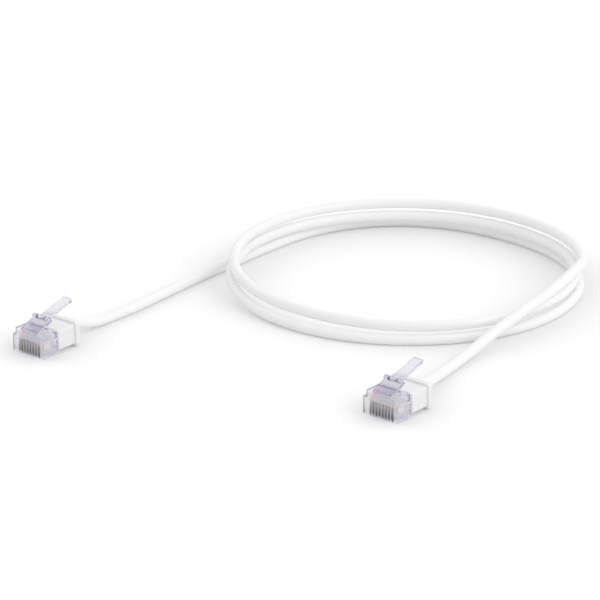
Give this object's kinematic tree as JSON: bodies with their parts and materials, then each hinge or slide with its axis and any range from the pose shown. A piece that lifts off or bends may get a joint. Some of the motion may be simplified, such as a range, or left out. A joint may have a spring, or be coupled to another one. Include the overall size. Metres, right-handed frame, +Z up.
{
  "type": "ethernet patch cable",
  "caption": "Slim white round ethernet patch cable lying in a small coil, with a clear modular plug, coloured wires inside and a white boot on each end",
  "frame": {"origin": "the middle of the first plug's entry: the centre of its nose's lower front edge, on the surface that the cable lies on", "axes": "+Z is up, away from the surface; -Y is the way both plugs' noses point, the way they enter their sockets; +X goes from the first plug to the second and is the longest extent of the two plugs together"},
  "size_m": [0.1116, 0.1545, 0.0119],
  "materials": {
    "clear_polycarbonate": "clear moulded polycarbonate, polished, faint lavender tint",
    "clear_latch_polycarbonate": "clear moulded polycarbonate, satin lever",
    "gold_contact": "gold-plated phosphor bronze, stamped",
    "guide_plastic": "natural moulded plastic",
    "orange_insulation": "extruded polyethylene insulation",
    "green_insulation": "extruded polyethylene insulation",
    "blue_insulation": "extruded polyethylene insulation",
    "brown_insulation": "extruded polyethylene insulation",
    "copper": "bare stranded copper",
    "white_jacket": "soft white PVC jacket, semi-matte",
    "white_boot": "moulded white PVC, semi-matte"
  },
  "bodies": {
    "cable": {"housing_a": "clear_polycarbonate", "contacts_a": "gold_contact", "wire_guide_a": "guide_plastic", "wires_orange_a": "orange_insulation", "wires_green_a": "green_insulation", "wires_blue_a": "blue_insulation", "wires_brown_a": "brown_insulation", "copper_cores_a": "copper", "jacket_end_a": "white_jacket", "boot_a": "white_boot", "housing_b": "clear_polycarbonate", "contacts_b": "gold_contact", "wire_guide_b": "guide_plastic", "wires_orange_b": "orange_insulation", "wires_green_b": "green_insulation", "wires_blue_b": "blue_insulation", "wires_brown_b": "brown_insulation", "copper_cores_b": "copper", "jacket_end_b": "white_jacket", "boot_b": "white_boot", "cable_tail_a": "white_jacket", "cable_coil": "white_jacket", "cable_tail_b": "white_jacket"},
    "latch_a_body": {"latch_a": "clear_latch_polycarbonate"},
    "latch_b_body": {"latch_b": "clear_latch_polycarbonate"}
  },
  "joints": [
    {"name": "latch_a_press", "type": "hinge", "parent": "cable", "child": "latch_a_body", "pos_m": [0, 0.00092, 0.00655], "axis": [-1, 0, 0], "range_deg": [0, 13], "stiffness_Nm_per_rad": 0.3},
    {"name": "latch_b_press", "type": "hinge", "parent": "cable", "child": "latch_b_body", "pos_m": [0.099, 0.02742, 0.00655], "axis": [-1, 0, 0], "range_deg": [0, 13], "stiffness_Nm_per_rad": 0.3}
  ]
}
